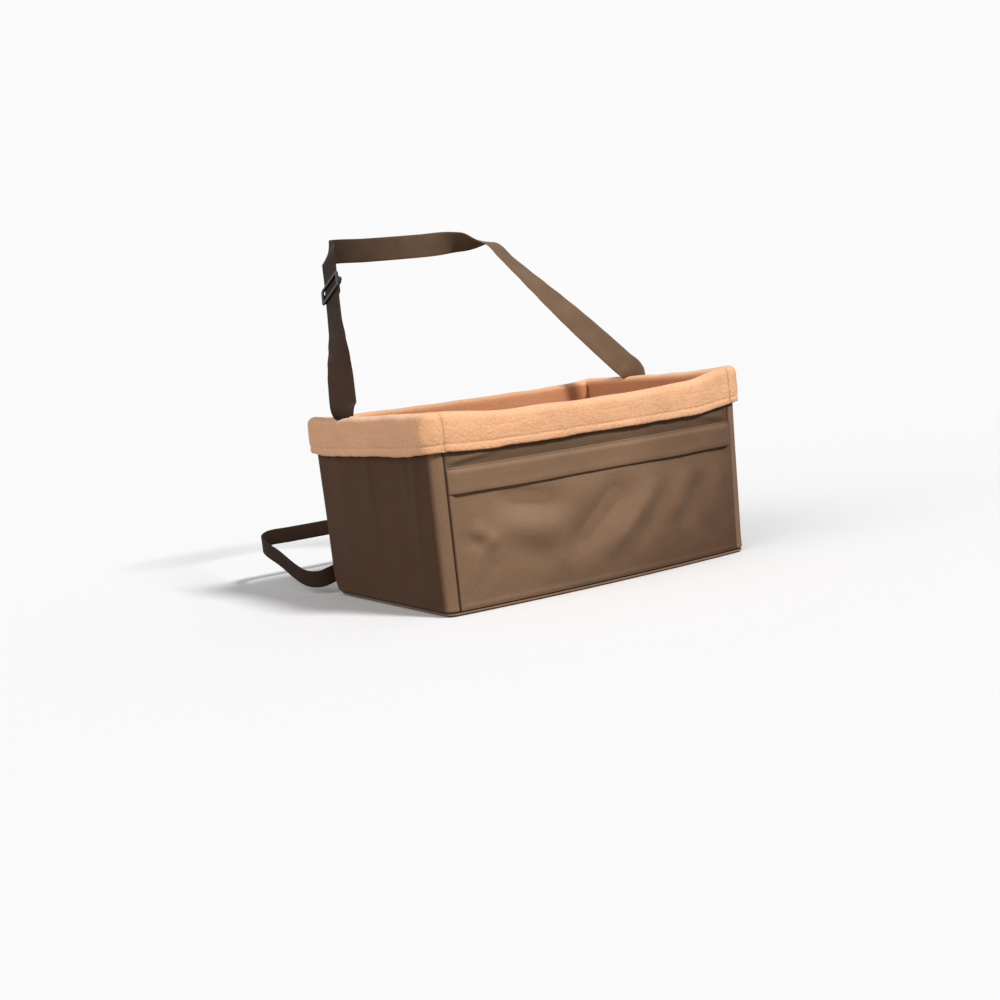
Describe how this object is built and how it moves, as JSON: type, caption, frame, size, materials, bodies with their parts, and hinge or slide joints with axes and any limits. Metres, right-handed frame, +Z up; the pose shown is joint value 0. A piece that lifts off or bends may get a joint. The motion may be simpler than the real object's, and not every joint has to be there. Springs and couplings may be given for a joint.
{
  "type": "dog car seat",
  "caption": "Fabric booster basket for a small dog, with a fleece liner and cuff, a zipped front pocket, a head-restraint strap and a buckled rear strap.",
  "frame": {"origin": "middle of the flat underside of the basket", "axes": "+X to the right seen from the front, +Y to the rear towards the seatback, +Z up"},
  "size_m": [0.5522, 0.6372, 0.5349],
  "materials": {
    "shell_fabric": "matt brown woven polyester",
    "fleece": "tan brushed fleece",
    "webbing": "dark brown woven webbing",
    "foam": "open-cell foam pad",
    "board": "stiff polyethylene board",
    "steel": "drawn steel wire",
    "black_plastic": "moulded black acetal",
    "zipper_tape": "dark brown woven zipper tape",
    "zipper_teeth": "moulded dark brown zipper teeth",
    "slider_metal": "brown lacquered metal",
    "hook_tape": "brown hook and loop tape"
  },
  "bodies": {
    "basket": {"front_panel": "shell_fabric", "left_panel": "shell_fabric", "right_panel": "shell_fabric", "rear_panel": "shell_fabric", "bottom_panel": "shell_fabric", "pocket_panel": "shell_fabric", "liner_front": "fleece", "liner_rear": "fleece", "liner_left": "fleece", "liner_right": "fleece", "liner_floor": "fleece", "base_pad": "foam", "base_board": "board", "front_board": "board", "rear_board": "board", "left_board": "board", "right_board": "board", "rim_wire": "steel", "support_webbing": "webbing", "headrest_strap": "webbing", "rear_strap_left": "webbing", "rear_strap_right": "webbing", "buckle_socket": "black_plastic", "buckle_plug": "black_plastic", "tether_tab": "webbing", "zipper_upper_tape": "zipper_tape", "zipper_lower_tape": "zipper_tape", "zipper_upper_teeth": "zipper_teeth", "zipper_lower_teeth": "zipper_teeth", "zipper_left_stop": "slider_metal", "zipper_right_stop": "slider_metal", "hook_patch_left_1": "hook_tape", "hook_patch_left_2": "hook_tape", "hook_patch_right_1": "hook_tape", "hook_patch_right_2": "hook_tape", "hook_patch_front_1": "hook_tape", "hook_patch_front_2": "hook_tape", "hook_patch_front_3": "hook_tape", "hook_patch_rear_1": "hook_tape", "hook_patch_rear_2": "hook_tape", "loop_patch_left_1": "hook_tape", "loop_patch_left_2": "hook_tape", "loop_patch_right_1": "hook_tape", "loop_patch_right_2": "hook_tape", "loop_patch_front_1": "hook_tape", "loop_patch_front_2": "hook_tape", "loop_patch_front_3": "hook_tape", "loop_patch_rear_1": "hook_tape", "loop_patch_rear_2": "hook_tape"},
    "flap": {"pocket_flap": "shell_fabric"},
    "slider": {"zipper_slider": "slider_metal", "zipper_pull": "slider_metal"},
    "adjuster": {"strap_adjuster": "black_plastic", "adjuster_tab": "webbing"},
    "upper_prong": {"buckle_upper_prong": "black_plastic"},
    "lower_prong": {"buckle_lower_prong": "black_plastic"},
    "ring": {"tether_ring": "steel"}
  },
  "joints": [
    {"name": "flap_lift", "type": "hinge", "parent": "basket", "child": "flap", "pos_m": [0, -0.19665, 0.192], "axis": [-1, 0, 0], "range_deg": [0, 100]},
    {"name": "slider_run", "type": "hinge", "parent": "basket", "child": "slider", "pos_m": [0, 2.04488, 0.1755], "axis": [0, 0, -1], "range_deg": [0, 10.2]},
    {"name": "adjuster_slide", "type": "slide", "parent": "basket", "child": "adjuster", "axis": [0.3119, 0.6384, 0.7037], "range_m": [-0.035, 0.018]},
    {"name": "upper_prong_flex", "type": "hinge", "parent": "basket", "child": "upper_prong", "pos_m": [0, 0.426, 0.0818], "axis": [0, 1, 0], "range_deg": [0, 8], "stiffness_Nm_per_rad": 0.05},
    {"name": "lower_prong_flex", "type": "hinge", "parent": "basket", "child": "lower_prong", "pos_m": [0, 0.426, 0.0622], "axis": [0, -1, 0], "range_deg": [0, 8], "stiffness_Nm_per_rad": 0.05},
    {"name": "ring_swing", "type": "hinge", "parent": "basket", "child": "ring", "pos_m": [0, 0.1683, 0.196], "axis": [-1, 0, 0], "range_deg": [0, 90]}
  ]
}
